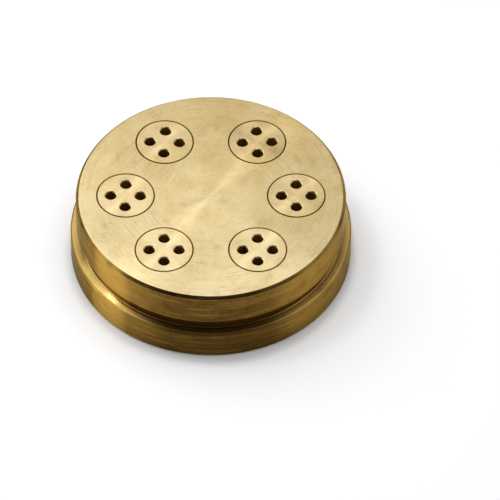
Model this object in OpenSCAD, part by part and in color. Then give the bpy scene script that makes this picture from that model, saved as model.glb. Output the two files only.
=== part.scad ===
// Pasta extrusion die: a turned brass body with six drop-in inserts of four exit holes each.
// The back rim lies in the plane z = 0 and the dough leaves upwards, through the front face.

/* [Body] */
// Outside diameter of the flange that the ring nut clamps
flange_d = 57; // [56:0.5:62]
// Thickness of the flange
flange_t = 6.65; // [6:0.05:8]
// Edge break round the top of the flange
flange_top_chamfer = 0.4; // [0.1:0.05:0.6]
// Edge break round the back of the flange
flange_back_chamfer = 0.35; // [0.2:0.05:1]
// Width of the groove between the flange and the neck
groove_w = 2.35; // [1.5:0.05:3.5]
// Diameter of the groove's floor
groove_d = 53; // [51.5:0.1:53.8]
// Radius in the corners of the groove
groove_fillet = 0.3; // [0.1:0.05:0.5]
// Diameter of the neck that stands through the ring nut
neck_d = 54.6; // [54.2:0.1:55.4]
// Height of the neck, from the groove to the front face
neck_h = 7.5; // [6.2:0.1:9]
// Chamfer round the front face
neck_chamfer = 0.6; // [0.2:0.1:1.2]
// Edge break round the bottom of the neck
neck_edge = 0.15; // [0.05:0.05:0.25]

/* [Back recess] */
// Diameter of the dish where the dough spreads to the inserts
recess_d = 50.4; // [50:0.1:52.6]
// Depth of the dish
recess_depth = 5; // [3:0.1:5.4]
// Radius round the bottom of the dish
recess_fillet = 0.3; // [0.1:0.1:0.5]
// Chamfer round the dish's rim
recess_chamfer = 0.4; // [0.1:0.1:0.8]

/* [Insert pattern] */
// Diameter of the circle that the inserts stand on
insert_pcd = 34.5; // [33.6:0.1:35]
// Angle from the cross axis to the front and back pairs of inserts
pair_angle = 57; // [53:0.5:62]

/* [Insert] */
// Diameter of the nose that shows in the front face
nose_d = 11.5; // [11:0.1:12.2]
// Diameter of the head that bears on the seat
head_d = 13.5; // [12.9:0.1:14]
// Thickness of the head
head_t = 3; // [2:0.1:4]
// How far the back of the head sits below the floor of the dish
head_inset = 0.2; // [0.1:0.1:0.5]
// Edge break round the back of the head
head_chamfer = 0.3; // [0.1:0.1:0.5]
// Diameter of the dough chamber
chamber_d = 9.2; // [9.1:0.1:9.8]
// Chamfer at the mouth of the chamber
mouth_chamfer = 1.2; // [0.4:0.1:1.6]
// Thickness of the web that the exit holes pass through
web_t = 3.5; // [2.6:0.1:4.5]
// Edge break round the nose
nose_edge = 0.08; // [0.04:0.01:0.12]

/* [Exit holes] */
// Number of exit holes in an insert
hole_count = 4; // [3:1:4]
// Diameter of an exit hole
hole_d = 2.1; // [1.6:0.1:2.6]
// Diameter of the circle that the exit holes stand on
hole_pcd = 6; // [5.6:0.1:6.1]
// Diameter of the lead-in cone where it opens into the chamber
lead_in_d = 3; // [2.7:0.1:3.1]
// Depth of the lead-in cone
lead_in_h = 1.2; // [0.6:0.1:2]
// Edge break at the mouth of an exit hole
hole_edge = 0.2; // [0.1:0.01:0.25]

/* [Pockets and fits] */
// Gap all round between a nose and its bore
nose_clearance = 0.12; // [0.05:0.01:0.16]
// Gap all round between a head and its pocket
head_clearance = 0.1; // [0.05:0.01:0.15]
// Chamfer at the mouth of a pocket
pocket_chamfer = 0.3; // [0.1:0.1:0.5]
// Edge break round a bore in the front face
bore_edge = 0.08; // [0.04:0.01:0.12]

/* [Hidden] */
$fn = 96;

// Heights above the back rim: the neck's foot and the front face
groove_top_z = flange_t + groove_w;
front_z = groove_top_z + neck_h;

// Heights above the back rim: the back of a head, its seat and the chamber's floor
head_z = recess_depth + head_inset;
seat_z = head_z + head_t;
web_z = front_z - web_t;

// The stepped hole that an insert is pushed into from the back
bore_d = nose_d + 2 * nose_clearance;
pocket_d = head_d + 2 * head_clearance;

// How far a cut runs on beyond the face that it opens in
cut_over = 1;

// Places of the inserts round the die, anticlockwise from the right
insert_angles = [0, pair_angle, 180 - pair_angle, 180, 180 + pair_angle, 360 - pair_angle];
// How far each insert has turned in its bore, in degrees
insert_turns = [0, 2, -3, -1, 0, 0];

// Steps in a quarter circle of a fillet
fillet_steps = 6;

// Points along an arc of a profile, about centre c, from angle a0 to angle a1
function arc_points(c, r, a0, a1) =
    [for (i = [0 : fillet_steps])
        let (a = a0 + (a1 - a0) * i / fillet_steps) c + r * [cos(a), sin(a)]];

// Outline of the turned body, from the axis outwards and back over the front face
function body_outline() =
    let (
        flange_r = flange_d / 2,
        neck_r = neck_d / 2,
        groove_r = groove_d / 2,
        recess_r = recess_d / 2
    )
    concat(
        [[0, recess_depth]],
        arc_points([recess_r - recess_fillet, recess_depth - recess_fillet], recess_fillet, 90, 0),
        [
            [recess_r, recess_chamfer],
            [recess_r + recess_chamfer, 0],
            [flange_r - flange_back_chamfer, 0],
            [flange_r, flange_back_chamfer],
            [flange_r, flange_t - flange_top_chamfer],
            [flange_r - flange_top_chamfer, flange_t]
        ],
        arc_points([groove_r + groove_fillet, flange_t + groove_fillet], groove_fillet, 270, 180),
        arc_points([groove_r + groove_fillet, groove_top_z - groove_fillet], groove_fillet, 180, 90),
        [
            [neck_r - neck_edge, groove_top_z],
            [neck_r, groove_top_z + neck_edge],
            [neck_r, front_z - neck_chamfer],
            [neck_r - neck_chamfer, front_z],
            [0, front_z]
        ]
    );

// Outline of the stepped hole that takes one insert, as deep as the body
function pocket_outline() =
    let (bore_r = bore_d / 2, pocket_r = pocket_d / 2)
    [
        [0, -cut_over],
        [pocket_r + pocket_chamfer, -cut_over],
        [pocket_r + pocket_chamfer, recess_depth],
        [pocket_r, recess_depth + pocket_chamfer],
        [pocket_r, seat_z],
        [bore_r, seat_z],
        [bore_r, front_z - bore_edge],
        [bore_r + bore_edge, front_z],
        [bore_r + bore_edge, front_z + cut_over],
        [0, front_z + cut_over]
    ];

// Outline of an insert without its exit holes: nose, head and the dough chamber behind the web
function insert_outline() =
    let (
        nose_r = nose_d / 2,
        head_r = head_d / 2,
        chamber_r = chamber_d / 2
    )
    [
        [0, web_z],
        [chamber_r, web_z],
        [chamber_r, head_z + mouth_chamfer],
        [chamber_r + mouth_chamfer, head_z],
        [head_r - head_chamfer, head_z],
        [head_r, head_z + head_chamfer],
        [head_r, seat_z],
        [nose_r, seat_z],
        [nose_r, front_z - nose_edge],
        [nose_r - nose_edge, front_z],
        [0, front_z]
    ];

// Outline of the drill path of one exit hole: lead-in cone, straight land and broken edge
function hole_outline() =
    let (hole_r = hole_d / 2, lead_in_r = lead_in_d / 2)
    [
        [0, web_z - cut_over],
        [lead_in_r, web_z - cut_over],
        [lead_in_r, web_z],
        [hole_r, web_z + lead_in_h],
        [hole_r, front_z - hole_edge],
        [hole_r + hole_edge, front_z],
        [hole_r + hole_edge, front_z + cut_over],
        [0, front_z + cut_over]
    ];

// Puts its children where insert number i stands
module at_insert(i) {
    rotate([0, 0, insert_angles[i]])
        translate([insert_pcd / 2, 0, 0])
            rotate([0, 0, -insert_angles[i]])
                children();
}

module die_body() {
    color("#c9a95f")
        difference() {
            rotate_extrude() polygon(body_outline());
            for (i = [0 : len(insert_angles) - 1])
                at_insert(i) rotate_extrude() polygon(pocket_outline());
        }
}

module insert(i) {
    color("#d2b56c")
        at_insert(i)
            rotate([0, 0, insert_turns[i]])
                difference() {
                    rotate_extrude() polygon(insert_outline());
                    for (k = [0 : hole_count - 1])
                        rotate([0, 0, k * 360 / hole_count])
                            translate([hole_pcd / 2, 0, 0])
                                rotate_extrude() polygon(hole_outline());
                }
}

die_body();
insert(0);  // insert_1
insert(1);  // insert_2
insert(2);  // insert_3
insert(3);  // insert_4
insert(4);  // insert_5
insert(5);  // insert_6
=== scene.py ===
# %% [markdown]
# # A turned brass die for a pasta extruder
# The die is a short brass disc, turned on a lathe. Six small round inserts sit flush in its front
# face, and each lets four strands of dough out. The shapes come from the packed frame; this
# notebook gives them rounded edges, the finish of turned brass, a table and studio light.

# %% Load the frame
from types import SimpleNamespace

import bmesh
import bpy
import numpy as np
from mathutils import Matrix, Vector
from mathutils.geometry import delaunay_2d_cdt


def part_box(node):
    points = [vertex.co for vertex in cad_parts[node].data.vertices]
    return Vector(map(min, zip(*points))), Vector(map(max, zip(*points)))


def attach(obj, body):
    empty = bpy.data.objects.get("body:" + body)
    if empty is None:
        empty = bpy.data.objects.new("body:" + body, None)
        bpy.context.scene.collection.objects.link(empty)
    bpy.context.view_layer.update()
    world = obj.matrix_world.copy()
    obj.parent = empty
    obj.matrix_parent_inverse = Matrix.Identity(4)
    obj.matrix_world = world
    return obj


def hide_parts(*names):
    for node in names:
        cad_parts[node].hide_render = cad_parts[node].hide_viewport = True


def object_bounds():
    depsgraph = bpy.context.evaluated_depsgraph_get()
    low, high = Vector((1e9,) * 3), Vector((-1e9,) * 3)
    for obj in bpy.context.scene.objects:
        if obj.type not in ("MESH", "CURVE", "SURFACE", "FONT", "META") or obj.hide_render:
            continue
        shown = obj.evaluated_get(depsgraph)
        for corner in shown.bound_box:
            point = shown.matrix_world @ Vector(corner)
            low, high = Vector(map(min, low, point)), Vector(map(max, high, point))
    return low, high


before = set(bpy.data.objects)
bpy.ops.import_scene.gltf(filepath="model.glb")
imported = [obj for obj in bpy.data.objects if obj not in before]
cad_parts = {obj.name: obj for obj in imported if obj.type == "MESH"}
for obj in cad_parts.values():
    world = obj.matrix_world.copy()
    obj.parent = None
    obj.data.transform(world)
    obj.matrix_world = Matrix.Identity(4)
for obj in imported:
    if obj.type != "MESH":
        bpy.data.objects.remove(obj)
CAD_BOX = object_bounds()
print("frame box in mm:", [[round(1000 * c, 2) for c in corner] for corner in CAD_BOX])

# %% [markdown]
# ## Sizes
# Everything is in metres, so each size is written in millimetres times MM. Where the frame can tell
# a size, it is read from there: the box of the whole die gives its diameter and height, and the box
# of each insert gives the axis that it was turned about. A radius ends in R, and a height above the
# table in Z.

# %% Read the sizes that the frame knows
MM = 0.001

FLANGE_R = (CAD_BOX[1][0] - CAD_BOX[0][0]) / 2
FRONT_Z = CAD_BOX[1][2]
INSERT_NAMES = [f"insert_{i}" for i in range(1, 7)]
INSERT_AXES = np.array([
    np.mean([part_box(name)[0][:2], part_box(name)[1][:2]], axis=0) for name in INSERT_NAMES
])
HEAD_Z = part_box("insert_1")[0][2]
print("flange radius", round(FLANGE_R / MM, 2), "height", round(FRONT_Z / MM, 2))
print("insert axes in mm:", np.round(INSERT_AXES / MM, 2).tolist())

# %% Write down the sizes inside the box
FLANGE_T, GROOVE_TOP_Z = 6.65 * MM, 9.0 * MM
NECK_R, GROOVE_R = 27.3 * MM, 26.5 * MM
DISH_R, DISH_Z = 25.2 * MM, 5.0 * MM
NOSE_R, BORE_R = 5.75 * MM, 5.87 * MM
HEAD_R, POCKET_R, SEAT_Z = 6.75 * MM, 6.85 * MM, 8.2 * MM
CHAMBER_R, WEB_Z = 4.6 * MM, 13.0 * MM
HOLE_R, HOLE_CIRCLE_R, LEAD_IN_R, LEAD_IN_H = 1.05 * MM, 3.0 * MM, 1.5 * MM, 1.2 * MM
print("web of an insert:", round((FRONT_Z - WEB_Z) / MM, 2), "mm thick")

# %% Write down the chamfers and broken edges
FACE_CHAMFER, NECK_EDGE = 0.6 * MM, 0.15 * MM
LEDGE_CHAMFER, RIM_CHAMFER = 0.4 * MM, 0.35 * MM
DISH_CHAMFER, DISH_FILLET = 0.4 * MM, 0.3 * MM
POCKET_CHAMFER, HEAD_CHAMFER, FUNNEL = 0.3 * MM, 0.3 * MM, 1.2 * MM
SEAM_EDGE, HOLE_EDGE = 0.08 * MM, 0.2 * MM
print("chamfer round the front face:", round(FACE_CHAMFER / MM, 2), "mm")

# %% [markdown]
# ## Camera
# The photo looks down at the die from the front, from well above the table, through a long lens.
# A long lens keeps circles close to true ellipses. The die stands left of the middle of the frame,
# and a small lens shift puts it there without turning the camera, so upright lines stay upright.

# %% Place the camera
CAMERA_ELEVATION = np.radians(48.7)
CAMERA_DISTANCE = 1.414
CAMERA_LENS = 504
CAMERA_SHIFT = (0.0781, -0.1093)

target = np.array([0.0, 0.0, FRONT_Z])
sight = np.array([0, -np.cos(CAMERA_ELEVATION), np.sin(CAMERA_ELEVATION)])
camera_place = target + CAMERA_DISTANCE * sight
camera_data = bpy.data.cameras.new("camera")
camera_data.sensor_width = 36
camera_data.lens = CAMERA_LENS
camera_data.shift_x, camera_data.shift_y = CAMERA_SHIFT
camera = bpy.data.objects.new("camera", camera_data)
camera.location = camera_place
camera.rotation_euler = Vector(target - camera_place).to_track_quat("-Z", "Y").to_euler()
bpy.context.collection.objects.link(camera)
bpy.context.scene.camera = camera
print("camera at", np.round(camera_place, 3).tolist())

# %% [markdown]
# ## Turned shapes
# A lathe makes a surface from one outline and one axis, and so does `turned`: it carries an outline
# round an axis as one grid of points. Blender's Spin or a Screw modifier could do the same, but here
# each row of points is known, so that flat faces can be sewn to it. No real edge is quite sharp, and
# it is the tiny round on each edge that catches the light, so the outline's corners are first
# replaced by small curves.

# %% Round the corners of an outline
SHARP, CRISP, FAIR, SOFT, FILLET = (trim * MM for trim in (0.02, 0.03, 0.04, 0.05, 0.28))


def rounded(corners, steps=5):
    """An outline of (radius, height) with each inner corner replaced by a small curve.

    A row of corners is (radius, height, trim). The curve starts and ends trim away from the corner
    P, at S and E, and its points are (1 - u)^2 S + 2 u (1 - u) P + u^2 E for u from 0 to 1. The two
    ends of the outline stay as they are.
    """
    places, trims = corners[:, :2], corners[1:-1, 2:]
    before, corner, after = places[:-2], places[1:-1], places[2:]
    start = corner + trims * (before - corner) / np.linalg.norm(before - corner, axis=1)[:, None]
    end = corner + trims * (after - corner) / np.linalg.norm(after - corner, axis=1)[:, None]
    u = np.linspace(0, 1, steps)[None, :, None]
    curve = (1 - u) ** 2 * start[:, None] + 2 * u * (1 - u) * corner[:, None] + u**2 * end[:, None]
    return np.vstack([places[:1], curve.reshape(-1, 2), places[-1:]])


test_outline = rounded(np.array([[2, 0, 0], [2, 1, 0.2], [1, 1, 0]]))
print("a corner rounded by", len(test_outline) - 2, "points")


# %% Carry an outline round an axis
def turned(outline, turns, axis=(0.0, 0.0)):
    """Points and faces of an outline of (radius, height) carried round an upright axis.

    The point of outline row i and turn j is (ax + r_i cos a_j, ay + r_i sin a_j, z_i).
    """
    angle = np.arange(turns) * 2 * np.pi / turns
    radius, height = outline[:, :1], outline[:, 1:]
    points = np.stack(
        [axis[0] + radius * np.cos(angle), axis[1] + radius * np.sin(angle), height + 0 * angle],
        axis=-1,
    ).reshape(-1, 3)
    row, turn = np.meshgrid(np.arange(len(outline) - 1), np.arange(turns), indexing="ij")
    here, there = row * turns + turn, row * turns + (turn + 1) % turns
    faces = np.stack([here, there, there + turns, here + turns], axis=-1).reshape(-1, 4)
    return points, faces.tolist()


print("a test ring has", len(turned(test_outline, 12)[1]), "faces")

# %% [markdown]
# ## Flat faces with holes
# The front face and the floor of the dish are flat, with round holes in them. A Boolean modifier
# could cut the holes, but it leaves slivers that shade badly. Here the edge points are the same as
# those of the turned shapes that they meet, so the two can be sewn together. A Delaunay
# triangulation fills the outer circle, and the triangles inside a hole are dropped again.

# %% Fill a flat face with round holes
SAME_POINT = 1e-7


def circle(centre, radius, turns):
    """Points (cx + r cos a, cy + r sin a) at equal steps of the angle a."""
    angle = np.arange(turns) * 2 * np.pi / turns
    return np.stack([centre[0] + radius * np.cos(angle), centre[1] + radius * np.sin(angle)], axis=-1)


def loop_edges(start, count):
    """The edges of a closed loop of points, of which the first has the number start."""
    here = np.arange(count)
    return start + np.stack([here, np.roll(here, -1)], axis=-1)


def flat_face(centre, radius, turns, holes, height):
    """Points and triangles of a disc at a height. holes is a list of (centre, radius, turns).

    A triangle lies in a hole when its middle is nearer to the hole's centre than the hole's radius.
    """
    rings = [circle(centre, radius, turns)] + [circle(*hole) for hole in holes]
    starts = np.cumsum([0] + [len(ring) for ring in rings[:-1]])
    edges = np.vstack([loop_edges(start, len(ring)) for start, ring in zip(starts, rings)]).tolist()
    scale = 1 / radius
    flat = [Vector(point) for point in np.vstack(rings) * scale]
    points, _, triangles, *_ = delaunay_2d_cdt(flat, edges, [], 0, SAME_POINT)
    points, triangles = np.array(points) / scale, np.array(triangles)
    middle = points[triangles].mean(axis=1)
    keep = np.ones(len(triangles), bool)
    for hole_centre, hole_radius, _ in holes:
        keep &= np.linalg.norm(middle - hole_centre, axis=1) > hole_radius
    points = np.column_stack([points, np.full(len(points), height)])
    return points, triangles[keep].tolist()


test_disc = flat_face((0, 0), 2.0, 24, [((0, 0), 1.0, 12)], 0.0)
print("a test disc with one hole has", len(test_disc[1]), "triangles")

# %% [markdown]
# ## One closed piece
# A real piece is one lump of metal, so its mesh is one closed skin too. The parts could be left
# lying side by side, but light would leak in and the mesh would have no volume. Here they are sewn
# where their points meet, and the normals are worked out again, so that all faces point outwards.

# %% Sew parts into one closed piece
SEWING_REACH = 0.002 * MM


def piece(name, parts):
    """One closed mesh of several parts, sewn where their points meet, with its faces outwards."""
    starts = np.cumsum([0] + [len(points) for points, _ in parts[:-1]])
    points = np.vstack([points for points, _ in parts])
    faces = [[start + corner for corner in face] for start, (_, part) in zip(starts, parts) for face in part]
    mesh = bpy.data.meshes.new(name)
    mesh.from_pydata(points.tolist(), [], faces)
    made = bmesh.new()
    made.from_mesh(mesh)
    bmesh.ops.remove_doubles(made, verts=made.verts, dist=SEWING_REACH)
    bmesh.ops.recalc_face_normals(made, faces=made.faces)
    open_edges = sum(not edge.is_manifold for edge in made.edges)
    volume = made.calc_volume(signed=True) / MM**3
    if volume < 0:
        bmesh.ops.reverse_faces(made, faces=made.faces)
    made.to_mesh(mesh)
    made.free()
    mesh.shade_smooth()
    shape = bpy.data.objects.new(name, mesh)
    bpy.context.collection.objects.link(shape)
    triangles = sum(len(p.vertices) - 2 for p in mesh.polygons)
    print(f"{name}: {triangles} triangles, {abs(volume):.0f} mm3, {open_edges} open edges")
    return shape


# %% [markdown]
# ## The body
# One outline runs from the front face out over the chamfer, down the neck, through the relief
# groove, round the flange, under the rim and up into the dish. At both ends it runs a little way
# over the flat face that follows, so that the face's own shading stays flat up to its edge. The six
# stepped pockets are turned too, each about the axis of its insert.

# %% Draw the outlines of the body and of a pocket
RUN_ON = 0.06 * MM
BODY_TURNS, POCKET_TURNS = 360, 128

body_corners = np.array([
    [NECK_R - FACE_CHAMFER - 2 * RUN_ON, FRONT_Z, 0],
    [NECK_R - FACE_CHAMFER, FRONT_Z, SOFT],
    [NECK_R, FRONT_Z - FACE_CHAMFER, SOFT],
    [NECK_R, GROOVE_TOP_Z + NECK_EDGE, SOFT],
    [NECK_R - NECK_EDGE, GROOVE_TOP_Z, SOFT],
    [GROOVE_R, GROOVE_TOP_Z, FILLET],
    [GROOVE_R, FLANGE_T, FILLET],
    [FLANGE_R - LEDGE_CHAMFER, FLANGE_T, CRISP],
    [FLANGE_R, FLANGE_T - LEDGE_CHAMFER, CRISP],
    [FLANGE_R, RIM_CHAMFER, SOFT],
    [FLANGE_R - RIM_CHAMFER, 0, SOFT],
    [DISH_R + DISH_CHAMFER, 0, SOFT],
    [DISH_R, DISH_CHAMFER, SOFT],
    [DISH_R, DISH_Z, FILLET],
    [DISH_R - DISH_FILLET - 2 * RUN_ON, DISH_Z, 0],
])
pocket_corners = np.array([
    [BORE_R + SEAM_EDGE + 2 * RUN_ON, FRONT_Z, 0],
    [BORE_R + SEAM_EDGE, FRONT_Z, CRISP],
    [BORE_R, FRONT_Z - SEAM_EDGE, CRISP],
    [BORE_R, SEAT_Z, SHARP],
    [POCKET_R, SEAT_Z, SHARP],
    [POCKET_R, DISH_Z + POCKET_CHAMFER, SOFT],
    [POCKET_R + POCKET_CHAMFER, DISH_Z, SOFT],
    [POCKET_R + POCKET_CHAMFER + 2 * RUN_ON, DISH_Z, 0],
])
print("corners:", len(body_corners), "in the body,", len(pocket_corners), "in a pocket")

# %% Turn the body
body_shell = turned(rounded(body_corners), BODY_TURNS)
pocket_outline = rounded(pocket_corners, steps=4)
pockets = [turned(pocket_outline, POCKET_TURNS, axis) for axis in INSERT_AXES]
front_holes = [(axis, pocket_corners[0, 0], POCKET_TURNS) for axis in INSERT_AXES]
dish_holes = [(axis, pocket_corners[-1, 0], POCKET_TURNS) for axis in INSERT_AXES]
front_face = flat_face((0, 0), body_corners[0, 0], BODY_TURNS, front_holes, FRONT_Z)
dish_floor = flat_face((0, 0), body_corners[-1, 0], BODY_TURNS, dish_holes, DISH_Z)
body = piece("turned_body", [body_shell, front_face, dish_floor, *pockets])

# %% [markdown]
# ## The inserts
# An insert is a cup with a wide head. Its outline runs from the front face down the nose, over the
# seat and the head, and up through the funnel into the chamber. Each of its four exit holes is a
# turned shape too, about its own axis: a broken edge, a straight land and a lead-in cone. The six
# could be copies of one mesh, but real inserts are loose and stand turned by a few degrees.

# %% Draw the outlines of an insert and of a hole
NOSE_TURNS, HOLE_TURNS = 128, 48
INSERT_TURNS = np.radians([0, 2, -3, -1, 0, 0])

insert_corners = np.array([
    [NOSE_R - SEAM_EDGE - 2 * RUN_ON, FRONT_Z, 0],
    [NOSE_R - SEAM_EDGE, FRONT_Z, CRISP],
    [NOSE_R, FRONT_Z - SEAM_EDGE, CRISP],
    [NOSE_R, SEAT_Z, SHARP],
    [HEAD_R, SEAT_Z, FAIR],
    [HEAD_R, HEAD_Z + HEAD_CHAMFER, SOFT],
    [HEAD_R - HEAD_CHAMFER, HEAD_Z, SOFT],
    [CHAMBER_R + FUNNEL, HEAD_Z, SOFT],
    [CHAMBER_R, HEAD_Z + FUNNEL, SOFT],
    [CHAMBER_R, WEB_Z, CRISP],
    [CHAMBER_R - RUN_ON, WEB_Z, 0],
])
hole_corners = np.array([
    [HOLE_R + HOLE_EDGE + RUN_ON, FRONT_Z, 0],
    [HOLE_R + HOLE_EDGE, FRONT_Z, FAIR],
    [HOLE_R, FRONT_Z - HOLE_EDGE, FAIR],
    [HOLE_R, WEB_Z + LEAD_IN_H, FAIR],
    [LEAD_IN_R, WEB_Z, SHARP],
    [LEAD_IN_R + RUN_ON / 2, WEB_Z, 0],
])
insert_outline, hole_outline = rounded(insert_corners, steps=4), rounded(hole_corners, steps=4)
print("points:", len(insert_outline), "in an insert's outline,", len(hole_outline), "in a hole's")


# %% Turn the six inserts
def insert_piece(name, axis, turn):
    """One insert about its axis, with its four holes turned by an angle about that axis."""
    angles = turn + np.arange(4) * np.pi / 2
    hole_axes = axis + HOLE_CIRCLE_R * np.stack([np.cos(angles), np.sin(angles)], axis=-1)
    mouths = [(h, hole_corners[0, 0], HOLE_TURNS) for h in hole_axes]
    lead_ins = [(h, hole_corners[-1, 0], HOLE_TURNS) for h in hole_axes]
    return piece(name, [
        turned(insert_outline, NOSE_TURNS, axis),
        flat_face(axis, insert_corners[0, 0], NOSE_TURNS, mouths, FRONT_Z),
        flat_face(axis, insert_corners[-1, 0], NOSE_TURNS, lead_ins, WEB_Z),
        *[turned(hole_outline, HOLE_TURNS, h) for h in hole_axes],
    ])


inserts = [insert_piece(f"turned_{n}", a, t) for n, a, t in zip(INSERT_NAMES, INSERT_AXES, INSERT_TURNS)]

# %% [markdown]
# ## Put the pieces in the frame
# Each turned piece stands for the plain solid of the same shape, which stays out of sight, and rides
# on the body of the frame, so that it moves wherever that body goes.

# %% Let the pieces stand for the solids
slots = ["body_brass"] + ["insert_brass"] * len(inserts)
for shape, node, slot in zip([body, *inserts], ["die_body", *INSERT_NAMES], slots):
    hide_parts(node)
    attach(shape, "root")
print(len(slots), "pieces ride on the root body")

# %% [markdown]
# ## Writing shader maths as Python
# A material is a tree of nodes, and a long sum is hard to read as a tree. `Wire` wraps the output of
# a node, so that an expression such as 1 - mask * 0.5 adds the Math nodes by itself. Every other
# node comes from `Finish.node`, which takes its type, its settings and what goes into its sockets.

# %% A wire
class Wire:
    """The output of a node, which Python's signs can work on. Each sign adds one Math node."""

    def __init__(self, finish, socket):
        self.finish, self.socket = finish, socket

    def also(self, name):
        """Another output of the same node."""
        return Wire(self.finish, self.socket.node.outputs[name])

    def maths(self, operation, *values):
        return self.finish.maths(operation, *values)

    def __add__(self, other):
        return self.maths("ADD", self, other)

    def __sub__(self, other):
        return self.maths("SUBTRACT", self, other)

    def __rsub__(self, other):
        return self.maths("SUBTRACT", other, self)

    def __mul__(self, other):
        return self.maths("MULTIPLY", self, other)

    __radd__, __rmul__ = __add__, __mul__

    def most(self, other):
        """The larger of the two values."""
        return self.maths("MAXIMUM", self, other)

    def between(self, low, high):
        """0 where the value is below low, 1 above high, and a smooth step from one to the other."""
        settings = {"interpolation_type": "SMOOTHSTEP"}
        inputs = {"Value": self, "From Min": low, "From Max": high}
        return self.finish.node("ShaderNodeMapRange", settings, inputs)


print("a wire knows", sorted(name for name in vars(Wire) if not name.startswith("__")))


# %% A finish
class Finish:
    """The nodes of a material or of the world, and the one shader that they feed."""

    def __init__(self, owner, shader="Principled BSDF"):
        self.owner = owner
        owner.use_nodes = True
        self.tree = owner.node_tree
        self.shader = self.tree.nodes[shader]

    def node(self, kind, settings=(), inputs=(), out=0):
        """One node of any type, and the wire of one of its outputs."""
        made = self.tree.nodes.new(kind)
        for key, value in dict(settings).items():
            setattr(made, key, value)
        for key, value in dict(inputs).items():
            self.feed(made.inputs[key], value)
        return Wire(self, made.outputs[out])

    def feed(self, socket, value):
        """Put a wire, a number or a colour into a socket."""
        if isinstance(value, Wire):
            self.tree.links.new(value.socket, socket)
        else:
            socket.default_value = value

    def shade(self, values):
        """Feed the shader's own sockets, each by its name."""
        for name, value in values.items():
            self.feed(self.shader.inputs[name], value)

    def maths(self, operation, first, *others):
        """A Math node, or a chain of them where there are more than two values."""
        for other in others:
            first = self.node("ShaderNodeMath", {"operation": operation}, {0: first, 1: other})
        return first

    def vector(self, operation, first, second=(0.0, 0.0, 0.0), scale=1.0, out=0):
        """A Vector Math node. Its second output is a number, such as a length."""
        inputs = {0: first, 1: second, 3: scale}
        return self.node("ShaderNodeVectorMath", {"operation": operation}, inputs, out)

    def mix(self, factor, first, second):
        """Two colours mixed: the first where the factor is 0, the second where it is 1."""
        inputs = {0: factor, 6: first, 7: second}
        return self.node("ShaderNodeMix", {"data_type": "RGBA"}, inputs, out=2)

    def noise(self, place, scale, detail, roughness):
        """Noise from 0 to 1, mostly near a half."""
        inputs = {"Vector": place, "Scale": scale, "Detail": detail, "Roughness": roughness}
        return self.node("ShaderNodeTexNoise", {}, inputs)


def srgb(red, green, blue):
    """A colour as a screen shows it, 0 to 255, turned into the linear values that a shader takes."""
    part = np.array([red, green, blue]) / 255
    linear = np.where(part <= 0.04045, part / 12.92, ((part + 0.055) / 1.055) ** 2.4)
    return (*linear.tolist(), 1.0)


print("pale brass in linear values:", [round(c, 3) for c in srgb(229, 201, 149)[:3]])

# %% [markdown]
# ## Turned brass
# Almost all that shows on a turned piece depends on how far a point is from the axis, how high it
# is, and which side of the die it is on. A picture wrapped round the piece could carry the marks,
# but it would blur close up and show a join. Object coordinates stay sharp and go all the way
# round. From here on the shader counts in millimetres, because they are easier to read.

# %% Find where a point lies
def about(finish, axis):
    """Where a point lies about an upright axis, in mm. cos and sin are those of its angle there."""
    place = finish.vector("SCALE", finish.node("ShaderNodeTexCoord", out=3), scale=1 / MM)
    own = finish.vector("SUBTRACT", place, (axis[0] / MM, axis[1] / MM, 0.0))
    flat = finish.vector("MULTIPLY", own, (1.0, 1.0, 0.0))
    radius = finish.vector("LENGTH", flat, out=1)
    height = finish.node("ShaderNodeSeparateXYZ", {}, {0: place}, out=2)
    cos = finish.node("ShaderNodeSeparateXYZ", {}, {0: finish.vector("NORMALIZE", flat)})
    return SimpleNamespace(
        place=place, flat=flat, radius=radius, height=height, cos=cos, sin=cos.also("Y")
    )


def band(value, low, high, soft):
    """1 where the value lies from low to high, and 0 outside, with edges of a given softness."""
    return value.between(low - soft, low) - value.between(high, high + soft)


FLANGE_TOP, GROOVE_TOP, DISH_FLOOR, FRONT = (z / MM for z in (FLANGE_T, GROOVE_TOP_Z, DISH_Z, FRONT_Z))
LEDGE_END, WORN_LEDGE_END = 28.1, 28.2
print("heights in mm:", [round(z, 2) for z in (FLANGE_TOP, GROOVE_TOP, DISH_FLOOR, FRONT)])
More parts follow.
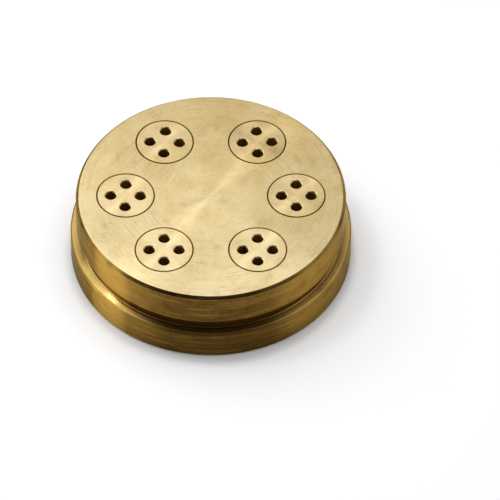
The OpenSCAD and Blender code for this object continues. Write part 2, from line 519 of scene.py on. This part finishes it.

# %% [markdown]
# The front face and the ledge that the ring nut rubs are bright. The walls are browner and darker than
# the face, the relief groove is nearly black with dirt and painted shade, a dark line of old dough fills
# each seam, and the holes in the inserts are painted darker as shade. Each of these zones is a mask from 0
# to 1, worked out from the height and the radius of a point.

# %% Say where the body is bright and where it is dark
def body_zones(finish, at):
    """The zones of the body. The scuffed edge lies beside the ledge, and the chamfer is a bit smoother."""
    dish_r, neck_r, groove_r, bore_r = (r / MM for r in (DISH_R, NECK_R, GROOVE_R, BORE_R))
    face = at.height.between(FRONT - 0.10, FRONT - 0.03)
    dish = 1 - at.height.between(DISH_FLOOR + 0.3, DISH_FLOOR + 0.5)
    dish = dish * (1 - at.radius.between(dish_r + 0.4, dish_r + 0.8))
    foot = 1 - at.height.between(0.05, 0.3)
    edge = band(at.height, FLANGE_TOP - 0.45, FLANGE_TOP - 0.03, 0.05)
    chamfer = band(at.height, FRONT - 0.55, FRONT - 0.10, 0.05)
    chamfer = chamfer * at.radius.between(neck_r - 0.7, neck_r - 0.6)
    # The groove mask takes dark old dough and oxide, and painted shade.
    groove = band(at.height, FLANGE_TOP + 0.15, GROOVE_TOP - 0.10, 0.12)
    groove = groove * band(at.radius, groove_r - 0.5, groove_r + 0.5, 0.3)
    nearest = finish.maths("MINIMUM", *[
        finish.vector("DISTANCE", at.flat, (*(axis / MM), 0.0), out=1) for axis in INSERT_AXES
    ])
    seam = 1 - nearest.between(bore_r + 0.05, bore_r + 0.2)
    seam = seam * at.height.between(GROOVE_TOP - 1, GROOVE_TOP)
    return SimpleNamespace(
        bright=face.most(dish.most(foot) * 0.8),
        ledge=band(at.height, FLANGE_TOP - 0.10, FLANGE_TOP + 0.07, 0.05),
        edge=edge * at.radius.between(LEDGE_END - 0.05, LEDGE_END + 0.05),
        smooth=chamfer * 0.35,
        groove=groove,
        seam=seam * (1 - at.height.between(FRONT - 0.10, FRONT - 0.05) * 0.5),
    )


# %% Say where an insert is bright and where it is dark
def insert_zones(finish, at):
    """The zones of an insert: bright in front and behind, smooth round the mouths, painted shade in the
    holes.
    """
    nose_r, chamber_r, head, web = (size / MM for size in (NOSE_R, CHAMBER_R, HEAD_Z, WEB_Z))
    mouth = FRONT - HOLE_EDGE / MM
    holes = 1 - at.radius.between(chamber_r - 0.2, chamber_r)
    face = at.height.between(mouth - 0.1, mouth)
    back = 1 - at.height.between(head + 0.2, head + 0.6)
    rim = at.height.between(FRONT - 1.5, FRONT - 1) * at.radius.between(nose_r - 0.17, nose_r - 0.04)
    # Painted shade: the walls of the holes are painted darker with the seam colour.
    hole_shade = band(at.height, web, mouth - 0.3, 0.2) * holes * 0.6
    mouths = band(at.height, mouth, FRONT - 0.02, 0.01) * holes
    # seam holds the dough in the seam at the nose and the painted shade in the holes.
    return SimpleNamespace(
        bright=face.most(back * 0.8), ledge=0.0, edge=0.0, smooth=mouths * 1.4, groove=0.0,
        seam=rim.most(hole_shade),
    )


print("a seam is", round((BORE_R - NOSE_R) / MM, 2), "mm wide")

# %% [markdown]
# A lathe tool leaves fine rings round the axis, and use adds stains and specks. The rings are noise
# that is stretched round the axis: it changes fast with radius and height, and slowly with the
# angle. Stains and specks are plain noise. A drawn spiral would look too regular.

# %% Make the rings and the stains
RINGS = {  # how often it changes: in a mm across, and round the axis; then how many finer layers
    "marks": (4, 0.9, 3.0), "fine": (11, 3, 2.0), "arcs": (5, 3, 3.0), "lines": (1.5, 2.5, 4.0),
}
STAINS = {  # how often it changes in a mm, how many finer layers, and how strong these are
    "patches": (0.14, 4.0, 0.6), "smudges": (0.35, 5.0, 0.65),
    "grain": (2.5, 4.0, 0.7), "specks": (2.2, 1.0, 0.5),
}


def rings(finish, at, across, around, detail):
    """Noise that is long round the axis and short across it."""
    across = (at.radius + at.height) * across
    inputs = {0: across, 1: at.cos * around, 2: at.sin * around}
    return finish.noise(finish.node("ShaderNodeCombineXYZ", {}, inputs), 1.0, detail, 0.6)


def all_noise(finish, at):
    """All the rings and stains, by name."""
    made = {name: rings(finish, at, *values) for name, values in RINGS.items()}
    made.update({name: finish.noise(at.place, *values) for name, values in STAINS.items()})
    return SimpleNamespace(**made)


print("kinds of noise:", [*RINGS, *STAINS])

# %% [markdown]
# The walls get painted light and shade by side. They are painted gold as a highlight low on the left
# and a little at the right, and painted darker as shade in front and on the left. Each such patch is a
# mask too: it depends on how nearly a point faces one side of the die.

# %% Say where the walls get painted highlights and painted shade
LEFT, RIGHT, FRONT_SIDE = (-1.0, 0.0), (1.0, 0.0), (0.0, -1.0)
LOW_LEFT, LOW_RIGHT, WORN_SIDE = (-0.743, -0.669), (0.77, -0.64), (-0.829, -0.559)


def patch(at, side, low, high):
    """A soft patch on one side of the die.

    cos times the side's x plus sin times its y is 1 straight towards that side and -1 straight away
    from it. The patch is 0 where that is below low, and 1 where it is above high.
    """
    return (at.cos * side[0] + at.sin * side[1]).between(low, high)


def painted_light_by_side(at):
    """Where the walls are painted darker as shade, in front and at the far left, and where they are painted
    gold as a highlight.
    """
    # These masks are painted light: gold is a painted highlight low on the left and at the right, and front
    # and far are painted shade in front and at the far left.
    gold = patch(at, LOW_LEFT, 0.975, 0.9995) * 0.75 + patch(at, LOW_LEFT, 0.85, 0.98) * 0.25
    far = patch(at, LEFT, 0.75, 0.95) * (1 - gold) * (1 - patch(at, LEFT, 0.962, 0.985) * 0.7)
    painted_highlight = gold + patch(at, LOW_RIGHT, 0.9, 1.0) * 0.4 + patch(at, RIGHT, 0.96, 0.995) * 0.45
    return SimpleNamespace(front=patch(at, FRONT_SIDE, 0.72, 1.0), far=far, painted_highlight=painted_highlight)


print("gold patch, degrees round from the right:", round(np.degrees(np.arctan2(*LOW_LEFT[::-1])) % 360))

# %% [markdown]
# The colour is mixed in layers: brown walls with tarnish and painted shade in front and at the far left,
# gold in streaks, on the scuffed edge and as painted highlights low on the left and right, the pale face
# beside them, the ledge, bright with painted highlights and painted shade, then stains, and dirt and
# painted shade in the groove, dirt in the seams and painted shade in the insert holes. The face is
# painted paler towards the front, as a highlight.

# %% Mix the colour
FACE_BRASS, PALE_BRASS, LEDGE_BRASS = srgb(222, 194, 133), srgb(245, 225, 176), srgb(244, 208, 126)
NECK_BRASS, FLANGE_BRASS, STAIN_AND_SHADE_BRASS = srgb(142, 108, 50), srgb(112, 84, 38), srgb(66, 46, 18)
GOLD_BRASS, GRIME_AND_SHADE, SEAM = srgb(220, 176, 88), srgb(80, 52, 8), srgb(134, 92, 0)
TOWARD_FRONT = (-0.2, -0.97, 0.0)


def wall_colour(finish, at, zones, noise, side_light):
    """Brown brass, from the flange up to the neck, darkened by stains and by painted shade, and gold in
    streaks, on the scuffed edge and as a painted highlight.
    """
    # The flange brass is darker than the neck brass, so the walls get darker towards the bottom.
    wall = finish.mix(at.height.between(6.0, 9.0), FLANGE_BRASS, NECK_BRASS)
    # Painted shade in front, strongest on the chamfer, and at the far left, then tarnish from smudges and
    # grain.
    tarnish_and_shade = side_light.front * (zones.smooth + 0.6) + side_light.far * 0.6
    tarnish_and_shade = tarnish_and_shade + noise.smudges.between(0.45, 0.75) * 0.2 + noise.grain.between(0.4, 0.7) * 0.2
    # Gold as a painted highlight low on the left and right, gold streaks, and gold on the scuffed edge
    # except in front, where painted shade keeps it dark.
    gold = side_light.painted_highlight * noise.patches.between(0.25, 0.5) * 0.8 + noise.lines.between(0.45, 0.75) * 0.2
    gold = gold + zones.edge * (0.3 - side_light.front * 0.3)
    return finish.mix(gold, finish.mix(tarnish_and_shade, wall, STAIN_AND_SHADE_BRASS), GOLD_BRASS)


def brass_colour(finish, at, zones, noise, side_light, grime_and_shade, plain):
    """All layers of the colour. The groove's mask holds its dirt and painted shade, and plain says how much
    the rings show.
    """
    # Painted highlight: the face is painted paler towards the front and a little to the left; the pale
    # patches of noise are its own tone.
    front_highlight = finish.vector("DOT_PRODUCT", at.place, TOWARD_FRONT, out=1)
    pale = noise.patches.between(0.35, 0.65) * 0.4 + front_highlight.between(-28, 28) * 0.6
    face = finish.mix(pale, FACE_BRASS, PALE_BRASS)
    colour = finish.mix(zones.bright, wall_colour(finish, at, zones, noise, side_light), face)
    # The ledge's share of bright brass is painted light: higher where the highlight is painted and at the
    # right, lower in front as painted shade.
    ledge = 0.6 + side_light.painted_highlight * 0.4 - side_light.front * 0.6 + patch(at, RIGHT, 0.8, 0.92) * 0.3
    colour = finish.mix(zones.ledge * ledge, colour, LEDGE_BRASS)
    stain = noise.marks.between(0.3, 0.7) * 0.08 + noise.fine.between(0.3, 0.7) * 0.08
    stain = (stain + noise.arcs.between(0.5, 0.7) * 0.14) * plain
    stain = stain + noise.smudges.between(0.5, 0.72) * 0.14 + noise.grain.between(0.45, 0.7) * 0.1
    colour = finish.mix(stain + noise.specks.between(0.72, 0.8) * 0.3, colour, STAIN_AND_SHADE_BRASS)
    return finish.mix(zones.seam, finish.mix(grime_and_shade, colour, GRIME_AND_SHADE), SEAM)


print("darkest brass in linear values:", [round(c, 3) for c in STAIN_AND_SHADE_BRASS[:3]])

# %% [markdown]
# The rings are too fine to see one by one, but they spread the light across themselves, which gives
# the soft streak through the middle of every turned face. The shader's anisotropy does this, because
# its own tangent runs round the middle of each piece. Low bumps of the same noise break the gloss
# up, and one more bump rounds the ledge where it is worn, low on the left.

# %% Put the finish together
BRASS_SOCKETS = {
    "Metallic": 1.0,
    "Specular Tint": srgb(224, 214, 188),
    "Anisotropic": 0.85,
    "Anisotropic Rotation": 0.25,
}


def brass_rough(zones, noise, grime_and_shade):
    """Rougher on the rings, the dirt and the scuffed edge, smoother on the walls and the chamfer."""
    rough = 0.26 + noise.marks * 0.10 + noise.fine * 0.06 + (grime_and_shade + zones.seam) * 0.3
    return (rough - (1 - zones.bright) * 0.06) * (1 - zones.smooth * 0.6) + zones.edge * 0.2


def brass_normal(finish, at, zones, noise, plain):
    """Bumps of the rings, and then the slope of the scuffed ledge, which falls outwards."""
    inputs = {"Strength": 0.25, "Distance": 0.02 * MM, "Height": (noise.marks + noise.fine * 0.6) * plain}
    bump = finish.node("ShaderNodeBump", {}, inputs)
    slope = (WORN_LEDGE_END - at.radius) * zones.ledge * patch(at, WORN_SIDE, 0.96, 0.998) * 0.2
    inputs = {"Strength": 1.0, "Distance": MM, "Height": slope, "Normal": bump}
    return finish.node("ShaderNodeBump", {}, inputs)


def turned_brass(name, axis, find_zones):
    """Turned brass about an upright axis. The rings fade near the axis, where the tool runs slowly."""
    finish = Finish(bpy.data.materials.new(name))
    at = about(finish, axis)
    zones, noise, side_light = find_zones(finish, at), all_noise(finish, at), painted_light_by_side(at)
    # Dirt and painted shade in the groove, painted lighter where the highlight is painted low on the left
    # and right.
    grime_and_shade = zones.groove * (1 - side_light.painted_highlight * 0.6)
    plain = at.radius.between(1.0, 16.0) * 0.7 + 0.3
    finish.shade({
        "Base Color": brass_colour(finish, at, zones, noise, side_light, grime_and_shade, plain),
        "Roughness": brass_rough(zones, noise, grime_and_shade),
        "Normal": brass_normal(finish, at, zones, noise, plain),
        **BRASS_SOCKETS,
    })
    return finish.owner


body.data.materials.append(turned_brass("turned_brass_body", (0, 0), body_zones))
for shape, name, axis in zip(inserts, INSERT_NAMES, INSERT_AXES):
    shape.data.materials.append(turned_brass(f"turned_brass_{name}", axis, insert_zones))
print("finishes:", [m.name for m in bpy.data.materials if m.name.startswith("turned")])

# %% [markdown]
# ## Table
# The die stands on a white table that has no edge in view. Lamps alone leave a table a little grey,
# and more of them would burn out the brass. So the table also glows a little, but only for the
# camera and in reflections, and not under the die, where the glow would shine up through the holes.
# The glow fades in just round the die's foot, which paints a narrow contact shadow there, deepest in front.

# %% Lay the table
TABLE_SIZE = 6
TABLE_WHITE, GLOW = (0.92, 0.92, 0.93, 1), 0.19
BLACK, WHITE = (0, 0, 0, 1), (1, 1, 1, 1)
# The glow fades in from 28 to 30.5 mm round a point 1.5 mm in front of the die's middle: a painted contact
# shadow round its foot, deepest in front.
UNDER_DIE, DARK_WITHIN, GLOWS_BEYOND = (0.0, -1.5, 0.0), 28.0, 30.5

bpy.ops.mesh.primitive_plane_add(size=TABLE_SIZE)
table = bpy.context.object
table.name = "table"
white = Finish(bpy.data.materials.new("white_table"))
seen = white.node("ShaderNodeLightPath")
seen = seen.most(seen.also("Is Glossy Ray").most(seen.also("Is Transmission Ray")))
spot = white.vector("SCALE", white.node("ShaderNodeTexCoord", out=3), scale=1 / MM)
glow_beyond_painted_shadow = white.vector("DISTANCE", spot, UNDER_DIE, out=1).between(DARK_WITHIN, GLOWS_BEYOND)
white.shade({
    "Base Color": TABLE_WHITE,
    "Roughness": 0.9,
    "Specular IOR Level": 0.0,
    "Emission Strength": GLOW,
    "Emission Color": white.mix(seen * glow_beyond_painted_shadow, BLACK, WHITE),
})
table.data.materials.append(white.owner)
print("table of", table.dimensions.x, "m")

# %% [markdown]
# ## Light
# Metal shows what stands round it, so large soft lamps matter more here than strong ones. Two lie
# close above the die and give the front face its even glow. Two at the sides and one behind light
# the walls, and a small one higher up draws the bright streak. The world adds a dim grey from the
# front and a lighter one from behind. A photographed sky could do the same, but this script reads
# no pictures.

# %% Hang the lamps
LAMPS = {  # direction from the die, distance and size in m, power in W
    "top_light": ((-0.2, 0.15, 0.95), 0.2, 0.27, 0.205),
    "front_light": ((0.25, -0.2, 0.93), 0.3, 0.3, 0.22),
    "left_light": ((-0.95, 0.0, 0.2), 0.8, 0.6, 0.8),
    "right_light": ((0.95, 0.0, 0.2), 0.8, 0.6, 0.4),
    "back_light": ((-0.6, 0.6, 0.4), 0.8, 0.6, 1.3),
    "streak_light": ((-0.364, 0.174, 0.916), 0.55, 0.1, 0.35),
}


def soft_box(name, direction, distance, size, power):
    """A square light at a direction and distance from the die, facing it."""
    direction = Vector(direction).normalized()
    data = bpy.data.lights.new(name, "AREA")
    data.shape, data.size, data.energy = "SQUARE", size, power
    lamp = bpy.data.objects.new(name, data)
    lamp.location = direction * distance
    lamp.rotation_euler = direction.to_track_quat("Z", "Y").to_euler()
    bpy.context.collection.objects.link(lamp)


for name, values in LAMPS.items():
    soft_box(name, *values)

# %% Colour the world
SKY_FRONT, SKY_BACK = (0.18, 0.18, 0.18, 1), (0.4, 0.4, 0.4, 1)

studio = Finish(bpy.data.worlds.new("studio"), "Background")
bpy.context.scene.world = studio.owner
outwards = studio.node("ShaderNodeTexCoord")
behind = studio.node("ShaderNodeSeparateXYZ", {}, {0: outwards}, out=1)
studio.shade({"Color": studio.mix(behind.between(-0.3, 0.5), SKY_FRONT, SKY_BACK)})
bpy.context.scene.view_settings.view_transform = "Standard"
print("the world is", round(SKY_BACK[0] / SKY_FRONT[0], 1), "times as bright behind as in front")

# %% [markdown]
# ## Finish
